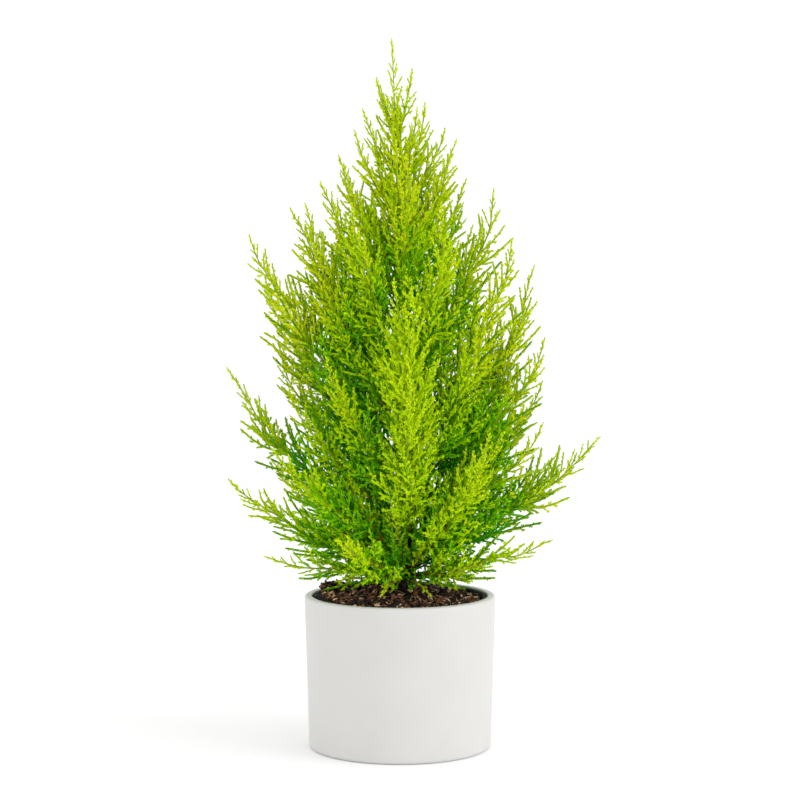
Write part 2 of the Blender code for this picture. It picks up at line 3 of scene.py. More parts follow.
import bpy
import numpy as np
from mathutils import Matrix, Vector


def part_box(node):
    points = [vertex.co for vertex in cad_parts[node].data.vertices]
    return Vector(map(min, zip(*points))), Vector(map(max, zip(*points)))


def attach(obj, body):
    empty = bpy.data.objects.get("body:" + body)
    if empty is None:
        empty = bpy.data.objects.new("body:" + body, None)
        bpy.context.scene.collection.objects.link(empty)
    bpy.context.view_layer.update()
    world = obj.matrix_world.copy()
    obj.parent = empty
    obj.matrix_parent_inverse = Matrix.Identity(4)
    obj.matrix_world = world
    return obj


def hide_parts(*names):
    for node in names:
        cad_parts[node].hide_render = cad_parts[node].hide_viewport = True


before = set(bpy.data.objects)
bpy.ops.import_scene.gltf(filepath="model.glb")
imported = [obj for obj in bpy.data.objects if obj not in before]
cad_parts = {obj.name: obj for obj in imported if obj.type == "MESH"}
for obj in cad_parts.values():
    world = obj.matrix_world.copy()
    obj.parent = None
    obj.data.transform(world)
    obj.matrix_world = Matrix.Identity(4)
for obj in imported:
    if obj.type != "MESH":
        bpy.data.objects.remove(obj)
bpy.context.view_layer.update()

# Pot: a cast stoneware cylinder that widens a little towards its rounded lip, fired in a satin
# white glaze. It stands on its flat foot, and the plant is set down into it in its grow pot.
POT_RIM_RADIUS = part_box("pot")[1].x
POT_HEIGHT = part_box("pot")[1].z
POT_BASE_RADIUS = 0.085
POT_WALL = 0.0072
POT_FLOOR = 0.009
POT_FOOT_ROUNDING = 0.0035
POT_INNER_ROUNDING = 0.006
LIP_OUTER_ROUNDING = 0.0026
LIP_INNER_ROUNDING = 0.0014
POT_SIDES = 144
POT_OUT_OF_ROUND = 0.00025
GLAZE_WHITE = "#D5D4D2"
GLAZE_SHADE = "#CECCCA"
GLAZE_PATCH = 0.045
GLAZE_DIMPLE = 0.006


def arc(centre, radius, start, end, steps):
    """Points of an arc in a profile: centre + radius (cos a, sin a), with a between two angles in
    degrees, where 0 points outwards and 90 up."""
    a = np.radians(np.linspace(start, end, steps + 1))
    return np.column_stack((centre[0] + radius * np.cos(a), centre[1] + radius * np.sin(a)))


def straight(start, end, steps):
    """The points between two points of a profile, without the two themselves."""
    return np.linspace(start, end, steps + 1)[1:-1]


def turned(profile, sides):
    """Points and faces of a profile turned round Z: point (u, v) is (r(v) cos u, r(v) sin u, z(v)).
    The profile's two ends lie on the axis, and close the shape there with a fan of triangles."""
    u = 2 * math.pi * np.arange(sides) / sides
    radius, height = profile[1:-1, 0, None], profile[1:-1, 1, None]
    rings = np.stack((radius * np.cos(u), radius * np.sin(u), height + 0 * u), axis=-1)
    ends = [[0, 0, profile[0, 1]]], [[0, 0, profile[-1, 1]]]
    points = np.concatenate((ends[0], rings.reshape(-1, 3), ends[1]))
    k = np.arange(sides)
    n = (k + 1) % sides
    first = 1 + sides * np.arange(len(profile) - 3)[:, None]
    quads = np.stack((first + k, first + n, first + sides + n, first + sides + k), axis=-1)
    top = len(points) - 1 - sides
    fans = np.concatenate((
        np.column_stack((0 * k, 1 + n, 1 + k)),
        np.column_stack((0 * k + len(points) - 1, top + k, top + n)),
    ))
    return points, [quads.reshape(-1, 4), fans]


def build(name, points, groups, finish, smooth=True):
    """A new object at the origin from points and from groups of faces, one face to a row."""
    corners = np.concatenate([g.ravel() for g in groups]).astype(np.int32)
    counts = np.concatenate([np.full(len(g), g.shape[1]) for g in groups])
    starts = np.concatenate(([0], np.cumsum(counts)[:-1])).astype(np.int32)
    mesh = bpy.data.meshes.new(name)
    mesh.vertices.add(len(points))
    mesh.vertices.foreach_set("co", np.asarray(points, np.float32).ravel())
    mesh.loops.add(len(corners))
    mesh.loops.foreach_set("vertex_index", corners)
    mesh.polygons.add(len(counts))
    mesh.polygons.foreach_set("loop_start", starts)
    mesh.update(calc_edges=True)
    if smooth:
        mesh.shade_smooth()
        mesh.set_sharp_from_angle(angle=math.radians(40))
    else:
        mesh.shade_flat()
    mesh.materials.append(finish)
    made = bpy.data.objects.new(name, mesh)
    bpy.context.scene.collection.objects.link(made)
    return made


def linear(code):
    """The linear colour of an sRGB hex code."""
    c = np.array([int(code[i : i + 2], 16) for i in (1, 3, 5)]) / 255
    return (*np.where(c <= 0.04045, c / 12.92, ((c + 0.055) / 1.055) ** 2.4), 1.0)


def add(tree, kind, values=None, links=None, **settings):
    """Adds a node with its settings, the values of its sockets and the outputs that feed them."""
    made = tree.nodes.new(kind)
    for name, value in settings.items():
        setattr(made, name, value)
    for socket, value in (values or {}).items():
        made.inputs[socket].default_value = value
    for socket, source in (links or {}).items():
        tree.links.new(source, made.inputs[socket])
    return made


def new_finish(name, colour, roughness):
    """A material with its node tree, its surface shader and the object coordinates in metres."""
    made = bpy.data.materials.new(name)
    made.use_nodes = True
    tree = made.node_tree
    surface = tree.nodes["Principled BSDF"]
    surface.inputs["Base Color"].default_value = linear(colour)
    surface.inputs["Roughness"].default_value = roughness
    place = add(tree, "ShaderNodeTexCoord").outputs["Object"]
    return made, tree, surface, place


def glazed_stoneware():
    """Satin glaze on cast stoneware: an even off-white with hardly visible clouds where the glaze
    lies thicker, and a soft dimpled skin that spreads each reflection."""
    made, tree, surface, place = new_finish("glazed_stoneware", GLAZE_WHITE, 0.42)
    cloud = add(tree, "ShaderNodeTexNoise", {"Scale": 1 / GLAZE_PATCH, "Detail": 3.0}, {"Vector": place})
    colour = add(tree, "ShaderNodeMix", {6: linear(GLAZE_SHADE), 7: linear(GLAZE_WHITE)},
                 {0: cloud.outputs["Fac"]}, data_type="RGBA")
    tree.links.new(colour.outputs[2], surface.inputs["Base Color"])
    gloss = add(tree, "ShaderNodeMapRange", {"To Min": 0.36, "To Max": 0.48}, {"Value": cloud.outputs["Fac"]})
    tree.links.new(gloss.outputs["Result"], surface.inputs["Roughness"])
    skin = add(tree, "ShaderNodeTexNoise", {"Scale": 1 / GLAZE_DIMPLE, "Detail": 2.0}, {"Vector": place})
    bump = add(tree, "ShaderNodeBump", {"Strength": 0.25, "Distance": 0.0002}, {"Height": skin.outputs["Fac"]})
    tree.links.new(bump.outputs["Normal"], surface.inputs["Normal"])
    return made


inner_base = POT_BASE_RADIUS - POT_WALL
foot_centre = (POT_BASE_RADIUS - POT_FOOT_ROUNDING, POT_FOOT_ROUNDING)
well_centre = (inner_base - POT_INNER_ROUNDING, POT_FLOOR + POT_INNER_ROUNDING)
foot = arc(foot_centre, POT_FOOT_ROUNDING, -90, 0, 8)
outer_centre = (POT_RIM_RADIUS - LIP_OUTER_ROUNDING, POT_HEIGHT - LIP_OUTER_ROUNDING)
inner_centre = (POT_RIM_RADIUS - POT_WALL + LIP_INNER_ROUNDING, POT_HEIGHT - LIP_INNER_ROUNDING)
outer_edge = arc(outer_centre, LIP_OUTER_ROUNDING, 0, 90, 10)
inner_edge = arc(inner_centre, LIP_INNER_ROUNDING, 90, 180, 8)
rim = np.concatenate((outer_edge, straight(outer_edge[-1], inner_edge[0], 3), inner_edge))
well = arc(well_centre, POT_INNER_ROUNDING, 0, -90, 8)
profile = np.concatenate((
    [(0.0, 0.0)], straight((0.0, 0.0), foot[0], 6), foot, straight(foot[-1], rim[0], 24), rim,
    straight(rim[-1], well[0], 16), well, straight(well[-1], (0.0, POT_FLOOR), 6), [(0.0, POT_FLOOR)],
))
points, faces = turned(profile, POT_SIDES)
around = np.arctan2(points[:, 1], points[:, 0])
wave = np.cos(2 * around + 0.6) + 0.5 * np.cos(3 * around + 40 * points[:, 2])
points[:, :2] *= (1 - POT_OUT_OF_ROUND / POT_RIM_RADIUS * (1 + wave / 1.5))[:, None]
pot = build("stoneware_pot", points, faces, glazed_stoneware())
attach(pot, "root")
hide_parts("pot")


# Grow pot: the thin nursery pot that the plant came in, moulded in black plastic with a rolled
# lip. It stands on the pot's floor and shows as a dark band round the potting mix, scuffed pale.
GAP = 0.0003
LINER_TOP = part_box("grow_pot")[1].z
LINER_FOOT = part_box("grow_pot")[0].z
LINER_RIM_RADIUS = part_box("grow_pot")[1].x
LINER_BASE_RADIUS = 0.066
LINER_WALL = 0.0014
LINER_LIP = 0.0026
LINER_SIDES = 160
PLASTIC_BLACK = "#060607"
PLASTIC_SCUFF = "#8F9295"
SCUFF_LENGTH = 0.012
SCUFF_SQUEEZE = 9.0


def moulded_black_plastic():
    """Recycled black polypropylene: a soft sheen on near-black, with pale scuffs in long streaks
    where tools and soil have rubbed it."""
    made, tree, surface, place = new_finish("moulded_black_plastic", PLASTIC_BLACK, 0.7)
    surface.inputs["Specular IOR Level"].default_value = 0.06
    streak = add(tree, "ShaderNodeMapping", {"Scale": (1.0, 1.0, SCUFF_SQUEEZE)}, {"Vector": place})
    worn = add(tree, "ShaderNodeTexNoise", {"Scale": 1 / SCUFF_LENGTH, "Detail": 5.0, "Roughness": 0.65},
               {"Vector": streak.outputs["Vector"]})
    share = add(tree, "ShaderNodeMapRange", {"From Min": 0.60, "From Max": 0.78}, {"Value": worn.outputs["Fac"]})
    colour = add(tree, "ShaderNodeMix", {6: linear(PLASTIC_BLACK), 7: linear(PLASTIC_SCUFF)},
                 {0: share.outputs["Result"]}, data_type="RGBA")
    tree.links.new(colour.outputs[2], surface.inputs["Base Color"])
    gloss = add(tree, "ShaderNodeMapRange", {"To Min": 0.7, "To Max": 0.85}, {"Value": share.outputs["Result"]})
    tree.links.new(gloss.outputs["Result"], surface.inputs["Roughness"])
    return made


edge = LINER_LIP / 2
wall_top = LINER_RIM_RADIUS - LINER_LIP
inside = wall_top - LINER_WALL
roll = arc((LINER_RIM_RADIUS - edge, LINER_TOP - edge), edge, -90, 90, 12)
liner_floor = LINER_FOOT + LINER_WALL
profile = np.concatenate((
    [(0.0, LINER_FOOT)], straight((0.0, LINER_FOOT), (LINER_BASE_RADIUS, LINER_FOOT), 4),
    [(LINER_BASE_RADIUS, LINER_FOOT)],
    straight((LINER_BASE_RADIUS, LINER_FOOT), (wall_top, LINER_TOP - LINER_LIP), 12),
    [(wall_top, LINER_TOP - LINER_LIP)], roll, [(inside + 0.0004, LINER_TOP), (inside, LINER_TOP - 0.0004)],
    straight((inside, LINER_TOP), (LINER_BASE_RADIUS - LINER_WALL, liner_floor), 12),
    [(LINER_BASE_RADIUS - LINER_WALL, liner_floor), (0.0, liner_floor)],
))
points, faces = turned(profile, LINER_SIDES)
grow_pot = build("nursery_pot", points, faces, moulded_black_plastic())
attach(grow_pot, "root")
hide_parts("grow_pot")


# Potting mix: composted conifer bark in crumbs, chips and fibres, pressed into a low mound that is
# highest at the trunk and lowest at the right, inside the grow pot's lip. Chips lie loose all over it.
SOIL_EDGE_HEIGHT = 0.1386
SOIL_MOUND_HEIGHT = 0.1510
SOIL_MOUND_RADIUS = 0.060
SOIL_FALL_TO_RIGHT = 0.055
SOIL_RISE_TO_BACK = 0.034
SOIL_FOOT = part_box("potting_mix")[0].z
SOIL_FOOT_RADIUS = 0.0635
SOIL_RADIUS = inside - 0.0006
SOIL_SIDES = 180
SOIL_RINGS = 60
CRUMB_RELIEF = 0.0016
CHIPS = 2500
CHIP_LENGTHS = 0.0030, 0.0130
CHIP_CORNERS = 6
FIBRES = 170
MIX_COLOURS = {
    "bark_chips_dark": ("#0E0503", "#2E160C", 0.48, 1.0),
    "bark_chips_brown": ("#4A2412", "#96603C", 0.30, 0.9),
    "bark_chips_tan": ("#B8845A", "#FFE2BE", 0.25, 0.7),
}
draw = np.random.default_rng(7)


def soil_height(x, y):
    """Height of the smooth mound: a cosine hump at the trunk on a plane that falls to the right and
    rises to the back."""
    away = np.minimum(np.hypot(x, y) / SOIL_MOUND_RADIUS, 1.0)
    plane = SOIL_EDGE_HEIGHT - SOIL_FALL_TO_RIGHT * x + SOIL_RISE_TO_BACK * y
    return plane + (SOIL_MOUND_HEIGHT - plane) * (0.5 + 0.5 * np.cos(math.pi * away))


def uneven(x, y, shortest, longest, waves):
    """Uneven height from -1 to 1 or so: the sum of cosine waves of random length, heading and phase,
    divided by the root of their number."""
    length = np.exp(draw.uniform(np.log(shortest), np.log(longest), waves))
    heading, phase = draw.uniform(0, 2 * math.pi, (2, waves))
    along = x[..., None] * np.cos(heading) + y[..., None] * np.sin(heading)
    return np.cos(2 * math.pi * along / length + phase).sum(axis=-1) / math.sqrt(waves)


def unit(vectors):
    """The same directions with length 1."""
    return vectors / np.linalg.norm(vectors, axis=-1, keepdims=True)


def across(along):
    """Two unit vectors square to each direction and to each other, the first of them level."""
    hint = np.where(np.abs(along[..., 2:]) > 0.95, (1.0, 0.0, 0.0), (0.0, 0.0, 1.0))
    first = unit(np.cross(along, hint))
    return first, np.cross(along, first)


def copies(shape, faces, places, axes, sizes):
    """One small shape set at many places at once: point p of copy i is place(i) + the sum over the
    three axes of size(i) p axis(i)."""
    points = places[:, None] + 0.0
    for k in range(3):
        points = points + shape[None, :, k, None] * (sizes[:, k, None] * axes[k])[:, None]
    shift = len(shape) * np.arange(len(places))[:, None, None]
    return points.reshape(-1, 3), [(shift + g[None]).reshape(-1, g.shape[1]) for g in faces]


def tubes(paths, radii, sides):
    """Round pieces along many paths at once: point (u, v) of each is path(v) + radius(v, u)
    (cos u first + sin u second), closed flat at its foot and by a point at its far end."""
    pieces, steps = paths.shape[:2]
    along = unit(np.gradient(paths, axis=1))
    level, _ = across(along[:, 0])
    first = unit(level[:, None] - along * (level[:, None] * along).sum(axis=-1, keepdims=True))
    second = np.cross(along, first)
    u = (2 * math.pi * np.arange(sides) / sides)[:, None]
    ring = np.cos(u) * first[:, :, None] + np.sin(u) * second[:, :, None]
    radii = radii[..., None] if radii.ndim == 3 else radii[:, :, None, None]
    rings = (paths[:, :, None] + ring * radii)[:, :-1].reshape(pieces, -1, 3)
    points = np.concatenate((rings, paths[:, -1:]), axis=1)
    shift = points.shape[1] * np.arange(pieces)[:, None, None]
    k = np.arange(sides)
    n = (k + 1) % sides
    row = sides * np.arange(steps - 2)[:, None]
    quads = np.stack((row + k, row + n, row + sides + n, row + sides + k), axis=-1).reshape(-1, 4)
    last = sides * (steps - 2)
    tip = np.column_stack((last + k, last + n, 0 * k + last + sides))
    groups = [quads, tip, k[::-1][None]]
    return points.reshape(-1, 3), [(shift + g[None]).reshape(-1, g.shape[1]) for g in groups]


def composted_bark(name, dark, light, grain):
    """Composted bark: matt and fibrous, each chip in its own brown with a fine dark grain."""
    made, tree, surface, place = new_finish(name, dark, 0.88)
    mottle = add(tree, "ShaderNodeTexNoise", {"Scale": 1 / grain, "Detail": 4.0, "Roughness": 0.7},
                 {"Vector": place})
    share = add(tree, "ShaderNodeMapRange", {"From Min": 0.36, "From Max": 0.64}, {"Value": mottle.outputs["Fac"]})
    colour = add(tree, "ShaderNodeMix", {6: linear(dark), 7: linear(light)}, {0: share.outputs["Result"]},
                 data_type="RGBA")
    tree.links.new(colour.outputs[2], surface.inputs["Base Color"])
    bump = add(tree, "ShaderNodeBump", {"Strength": 0.6, "Distance": 0.0006}, {"Height": mottle.outputs["Fac"]})
    tree.links.new(bump.outputs["Normal"], surface.inputs["Normal"])
    return made


top_rings = np.linspace(SOIL_RADIUS, 0.0012, SOIL_RINGS)
profile = np.concatenate((
    [(0.0, SOIL_FOOT), (SOIL_FOOT_RADIUS, SOIL_FOOT)],
    np.column_stack((top_rings, np.full(SOIL_RINGS, SOIL_EDGE_HEIGHT))), [(0.0, SOIL_EDGE_HEIGHT)],
))
points, faces = turned(profile, SOIL_SIDES)
top = points[:, 2] > SOIL_FOOT + GAP
x, y = points[top, 0], points[top, 1]
crumbs = uneven(x, y, 0.0035, 0.016, 40) + 0.4 * np.abs(uneven(x, y, 0.0018, 0.004, 30))
still = np.clip(1 - np.hypot(x, y) / SOIL_RADIUS, 0.15, 1.0) ** 0.3
points[top, 2] = soil_height(x, y) + CRUMB_RELIEF * (crumbs - 0.6) * still
mix = build("potting_mix_bed", points, faces, composted_bark("composted_bark_bed", "#060302", "#1C0E08", 0.004))
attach(mix, "root")
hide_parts("potting_mix")

chip_turn = 2 * math.pi * np.arange(CHIP_CORNERS) / CHIP_CORNERS
outline = np.column_stack((np.cos(chip_turn), np.sin(chip_turn)))
uneven_corners = np.array((1.0, 0.82, 1.05, 0.9, 1.1, 0.78))[:, None]
chip = np.concatenate((
    np.column_stack((outline * uneven_corners * 0.86, np.full(CHIP_CORNERS, -1.0))),
    np.column_stack((outline * uneven_corners, np.full(CHIP_CORNERS, 0.2))),
    np.column_stack((outline * uneven_corners * 0.7, np.full(CHIP_CORNERS, 1.0))),
))
k = np.arange(CHIP_CORNERS)
n = (k + 1) % CHIP_CORNERS
chip_sides = np.concatenate([np.column_stack((s + k, s + n, s + CHIP_CORNERS + n, s + CHIP_CORNERS + k))
                             for s in (0, CHIP_CORNERS)])
chip_ends = np.array((k[::-1], k + 2 * CHIP_CORNERS))

spot = draw.uniform(0, 1, CHIPS)
bearing = draw.uniform(0, 2 * math.pi, CHIPS)
reach = spot**0.38 * (SOIL_RADIUS - 0.0018)
centres = np.column_stack((reach * np.cos(bearing), reach * np.sin(bearing), np.zeros(CHIPS)))
length = draw.uniform(0, 1, CHIPS) ** 1.8 * (CHIP_LENGTHS[1] - CHIP_LENGTHS[0]) + CHIP_LENGTHS[0]
length *= np.clip((SOIL_RADIUS - reach) / 0.006, 0.65, 1.0)
heap = 0.0060 * np.exp(-((centres[:, 0] + 0.062) ** 2 + (centres[:, 1] - 0.01) ** 2) / 0.016**2)
centres[:, 2] = soil_height(centres[:, 0], centres[:, 1]) + heap + draw.uniform(-0.0016, 0.0034, CHIPS)
normal = unit(np.column_stack((draw.normal(0, 0.75, (CHIPS, 2)), np.ones(CHIPS))))
level, _ = across(normal)
spin = draw.uniform(0, 2 * math.pi, CHIPS)[:, None]
heading = level * np.cos(spin) + np.cross(normal, level) * np.sin(spin)
sizes = np.column_stack((length, length * draw.uniform(0.3, 0.6, CHIPS), length * draw.uniform(0.1, 0.26, CHIPS)))
kind = draw.uniform(0, 1, CHIPS)
limit = 0.0
for name, (dark, light, part, scale) in MIX_COLOURS.items():
    mine = (kind >= limit) & (kind < limit + part)
    limit += part
    axes = [a[mine] for a in (heading, np.cross(normal, heading), normal)]
    points, faces = copies(chip, [chip_sides, chip_ends], centres[mine], axes, sizes[mine] * scale / 2)
    chips = build(name, points, faces, composted_bark("composted_" + name, dark, light, 0.0022), smooth=False)
    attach(chips, "root")
    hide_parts("potting_mix")

reach = np.sqrt(draw.uniform(0, 1, FIBRES)) * (SOIL_RADIUS - 0.010)
bearing = draw.uniform(0, 2 * math.pi, FIBRES)
lie = draw.uniform(0, 2 * math.pi, FIBRES)
bow = draw.uniform(-1.2, 1.2, FIBRES)
long = draw.uniform(0.006, 0.020, FIBRES)
t = np.linspace(-0.5, 0.5, 7)
turn = lie[:, None] + bow[:, None] * t
x = (reach * np.cos(bearing))[:, None] + long[:, None] * t * np.cos(turn)
y = (reach * np.sin(bearing))[:, None] + long[:, None] * t * np.sin(turn)
inward = np.minimum(1.0, (SOIL_RADIUS - 0.001) / np.hypot(x, y))
x, y = x * inward, y * inward
lift = draw.uniform(0.0005, 0.0022, FIBRES)[:, None] + 0.0012 * (1 - 4 * t**2)
paths = np.stack((x, y, soil_height(x, y) + lift), axis=-1)
radii = draw.uniform(0.00018, 0.00040, FIBRES)[:, None] * (1.1 - t**2)
points, faces = tubes(paths, radii, 4)
fibres = build("bark_fibres", points, faces, composted_bark("bark_fibre", "#7D5535", "#B8946A", 0.003))
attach(fibres, "root")
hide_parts("potting_mix")


# Trunk: one straight young stem with a slight lean, in thin red-brown bark that splits lengthways.
# It flares where it enters the mix and runs on up through the foliage to the leader.
TRUNK_LINE = ((0.146, 0.0062, 0.002), (0.175, 0.0095, 0.0), (0.30, 0.0060, -0.002),
              (0.45, 0.0025, 0.0), (0.54, 0.0012, 0.001), (0.583, -0.0012, 0.0))
TRUNK_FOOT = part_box("trunk")[0].z - 0.003
TRUNK_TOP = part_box("trunk")[1].z
TRUNK_RADIUS = 0.0043
TRUNK_TIP_RADIUS = 0.0010
ROOT_FLARE = 0.0034
ROOT_FLARE_HEIGHT = 0.010
TRUNK_SIDES = 48
TRUNK_RINGS = 300
FISSURE_DEPTH = 0.10


def trunk_point(height):
    """Centre of the trunk at each height: the cubic that runs through the named places with the
    slope of the chord between each place's neighbours."""
    heights, right, deep = np.array(TRUNK_LINE).T
    last = len(heights) - 1
    i = np.clip(np.searchsorted(heights, height) - 1, 0, last - 1)
    t = (height - heights[i]) / (heights[i + 1] - heights[i])
    place = []
    for values in (right, deep):
        slope_in = (values[i + 1] - values[np.maximum(i - 1, 0)]) / 2
        slope_out = (values[np.minimum(i + 2, last)] - values[i]) / 2
        place.append(
            (2 * t**3 - 3 * t**2 + 1) * values[i] + (t**3 - 2 * t**2 + t) * slope_in
            + (3 * t**2 - 2 * t**3) * values[i + 1] + (t**3 - t**2) * slope_out
        )
    return np.column_stack((*place, height))


def trunk_radius(height):
    """Even taper from foot to top, with the root flare added at the mix."""
    share = np.clip((height - SOIL_MOUND_HEIGHT) / (TRUNK_TOP - SOIL_MOUND_HEIGHT), 0.0, 1.0)
    flare = ROOT_FLARE * np.exp(-np.maximum(height - SOIL_MOUND_HEIGHT, 0.0) / ROOT_FLARE_HEIGHT)
    return TRUNK_RADIUS + (TRUNK_TIP_RADIUS - TRUNK_RADIUS) * share + flare


def fissured(radius, sides, run, plates, twist, depth):
    """Radii of split bark, radius(v) (1 + depth ridge): the ridge rises between lengthways splits,
    |sin| of a few times the angle u, and their places wander as v runs along the limb."""
    u = 2 * math.pi * np.arange(sides) / sides
    wander = 0.9 * np.sin(twist * run[..., None] + 3 * np.sin(u)) + 0.5 * np.sin(2.7 * twist * run[..., None])
    ridge = np.abs(np.sin(plates * u / 2 + wander)) ** 0.6
    scaly = 0.5 + 0.5 * np.sin(9 * twist * run[..., None] + 5 * np.sin(2 * u + 1.0))
    return radius[..., None] * (1 + depth * (ridge - 0.75) + 0.35 * depth * scaly * ridge)


def young_bark(name, low_colour, high_colour, low, high):
    """Thin bark of a young conifer: red-brown and stringy on old wood, passing to tan and then to
    green wood further up, with dark splits along the limb."""
    made, tree, surface, place = new_finish(name, low_colour, 0.72)
    rise = add(tree, "ShaderNodeSeparateXYZ", links={"Vector": place})
    share = add(tree, "ShaderNodeMapRange", {"From Min": low, "From Max": high}, {"Value": rise.outputs["Z"]})
    wood = add(tree, "ShaderNodeMix", {6: linear(low_colour), 7: linear(high_colour)},
               {0: share.outputs["Result"]}, data_type="RGBA")
    grain = add(tree, "ShaderNodeMapping", {"Scale": (1.0, 1.0, 0.22)}, {"Vector": place})
    string = add(tree, "ShaderNodeTexNoise", {"Scale": 1 / 0.0016, "Detail": 4.0},
                 {"Vector": grain.outputs["Vector"]})
    shade = add(tree, "ShaderNodeMapRange", {"From Min": 0.38, "From Max": 0.6, "To Min": 0.45, "To Max": 1.0},
                {"Value": string.outputs["Fac"]})
    colour = add(tree, "ShaderNodeVectorMath", links={0: wood.outputs[2], 1: shade.outputs["Result"]},
                 operation="MULTIPLY")
    tree.links.new(colour.outputs["Vector"], surface.inputs["Base Color"])
    bump = add(tree, "ShaderNodeBump", {"Strength": 0.5, "Distance": 0.0004}, {"Height": string.outputs["Fac"]})
    tree.links.new(bump.outputs["Normal"], surface.inputs["Normal"])
    return made


bark = young_bark("young_bark", "#4A2312", "#93A21C", 0.19, 0.38)
heights = np.linspace(TRUNK_FOOT, TRUNK_TOP, TRUNK_RINGS)
paths = trunk_point(heights)[None]
radii = fissured(trunk_radius(heights), TRUNK_SIDES, heights, 9, 60.0, FISSURE_DEPTH)[None]
points, faces = tubes(paths, radii, TRUNK_SIDES)
trunk = build("trunk_bark", points, faces, bark)
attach(trunk, "root")
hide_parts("trunk")


# Boughs: the eight lowest limbs, bare red-brown wood for their first hand's breadth. Each leaves
# the trunk in a shallow sag and turns up into its foliage.
BOUGHS = {
    "low_right": (0.166, -5, 0.186, 0.289, 0.045),
    "low_right_front": (0.176, -57, 0.148, 0.300, 0.08),
    "low_front_left": (0.163, -113, 0.146, 0.208, 0.04),
    "low_left_front": (0.182, -144, 0.140, 0.285, 0.07),
    "low_left": (0.168, -171, 0.160, 0.254, 0.08),
    "low_back_left": (0.172, 141, 0.166, 0.262, 0.07),
    "low_back_right": (0.168, 61, 0.166, 0.250, 0.07),
    "low_right_back": (0.180, 21, 0.163, 0.268, 0.07),
}
BOUGH_BASE_RADIUS = 0.0024
BOUGH_END_RADIUS = 0.0014
BOUGH_SHARE = 0.14
BOUGH_SIDES = 16
BOUGH_RINGS = 48
UP = np.array((0.0, 0.0, 1.0))


def limb_controls(limbs):
    """Start, bend and end of limbs, whose line is (1-t)^2 start + 2t(1-t) bend + t^2 end. The bend
    is set below the middle of the chord by twice the sag. Each limb is the height where it leaves
    the trunk, its bearing in degrees, its tip's distance from the pot's middle, its tip's height
    and its sag."""
    joint, bearing, reach, tip_height, sag = np.array(list(limbs.values())).T
    start = trunk_point(joint)
    a = np.radians(bearing)
    end = np.column_stack((reach * np.cos(a), reach * np.sin(a), tip_height))
    chord = end - start
    down = unit(np.cross(chord, np.cross(chord, UP)))
    return start, (start + end) / 2 + down * (2 * sag * np.linalg.norm(chord, axis=1))[:, None], end


run = np.linspace(0, BOUGH_SHARE * 0.2, BOUGH_RINGS)
radii = fissured(np.linspace(BOUGH_BASE_RADIUS, BOUGH_END_RADIUS, BOUGH_RINGS), BOUGH_SIDES, run, 5, 160.0, 0.12)
start, bend, end = (point[:, None] for point in limb_controls(BOUGHS))
t = np.linspace(0, BOUGH_SHARE + 0.03, BOUGH_RINGS)[:, None]
paths = (1 - t) ** 2 * start + 2 * t * (1 - t) * bend + t**2 * end
points, faces = tubes(paths, np.repeat(radii[None], len(BOUGHS), axis=0), BOUGH_SIDES)
boughs = build("bough_bark", points, faces, young_bark("young_bough_bark", "#4C2614", "#7A5228", 0.17, 0.26))
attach(boughs, "root")
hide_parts(*("bough_" + name for name in BOUGHS))


# Foliage: every limb is a plume of soft lime shoots in a spiral, which get shorter towards its tip.
# Each shoot bears twigs in the same way, and each twig pairs of small pointed leaves, crossed.
SPRAYS = {
    "skirt_right": (0.160, -24, 0.151, 0.198, 0.03),
    "skirt_front_right": (0.158, -45, 0.118, 0.181, 0.02),
    "skirt_left": (0.158, -160, 0.131, 0.182, 0.02),
    "skirt_back": (0.160, 103, 0.152, 0.214, 0.05),
    "collar_left": (0.157, -105, 0.077, 0.149, -0.06),
    "collar_right": (0.155, -66, 0.066, 0.150, -0.04),
    "low_heart_left": (0.170, -134, 0.066, 0.262, 0.09),
    "low_heart_right": (0.178, -36, 0.072, 0.282, 0.09),
    "low_heart_back": (0.176, 82, 0.068, 0.272, 0.09),
    "low_front": (0.186, -86, 0.115, 0.362, 0.13),
    "mid_left": (0.196, 177, 0.160, 0.351, 0.09),
    "mid_back_left": (0.200, 118, 0.156, 0.345, 0.09),
    "mid_back_right": (0.192, 44, 0.160, 0.352, 0.09),
    "right_outer": (0.222, -12, 0.137, 0.383, 0.08),
    "left_front_inner": (0.232, -128, 0.106, 0.368, 0.07),
    "left_back_outer": (0.252, 156, 0.143, 0.437, 0.08),
    "right_shoulder": (0.250, 11, 0.128, 0.446, 0.09),
    "front_right_inner": (0.244, -42, 0.104, 0.410, 0.07),
    "back_upper": (0.262, 86, 0.126, 0.424, 0.08),
    "left_shoulder": (0.284, -177, 0.140, 0.477, 0.06),
    "front_upper": (0.276, -92, 0.095, 0.438, 0.09),
    "right_front_shoulder": (0.290, -22, 0.111, 0.471, 0.08),
    "back_left_upper": (0.302, 124, 0.104, 0.478, 0.07),
    "back_right_upper": (0.310, 48, 0.104, 0.488, 0.07),
    "front_right_upper": (0.318, -62, 0.082, 0.503, 0.09),
    "left_upper": (0.336, 168, 0.103, 0.501, 0.06),
    "right_upper": (0.342, 3, 0.089, 0.520, 0.07),
    "front_left_upper": (0.352, -125, 0.074, 0.505, 0.07),
    "left_crown": (0.384, -168, 0.073, 0.526, 0.06),
    "right_crown": (0.398, 26, 0.068, 0.526, 0.06),
    "back_crown": (0.388, 96, 0.070, 0.536, 0.06),
    "front_crown": (0.412, -84, 0.055, 0.545, 0.06),
    "left_spire": (0.436, 156, 0.065, 0.550, 0.05),
    "right_spire": (0.450, -20, 0.054, 0.563, 0.05),
    "left_tip": (0.482, -160, 0.046, 0.569, 0.04),
    "right_tip": (0.498, 22, 0.046, 0.574, 0.04),
    "front_tip": (0.516, -60, 0.030, 0.590, 0.04),
    "top_left": (0.556, -165, 0.022, 0.618, 0.03),
    "top_right": (0.570, 25, 0.012, 0.628, 0.03),
}
LEADER_FOOT = 0.40
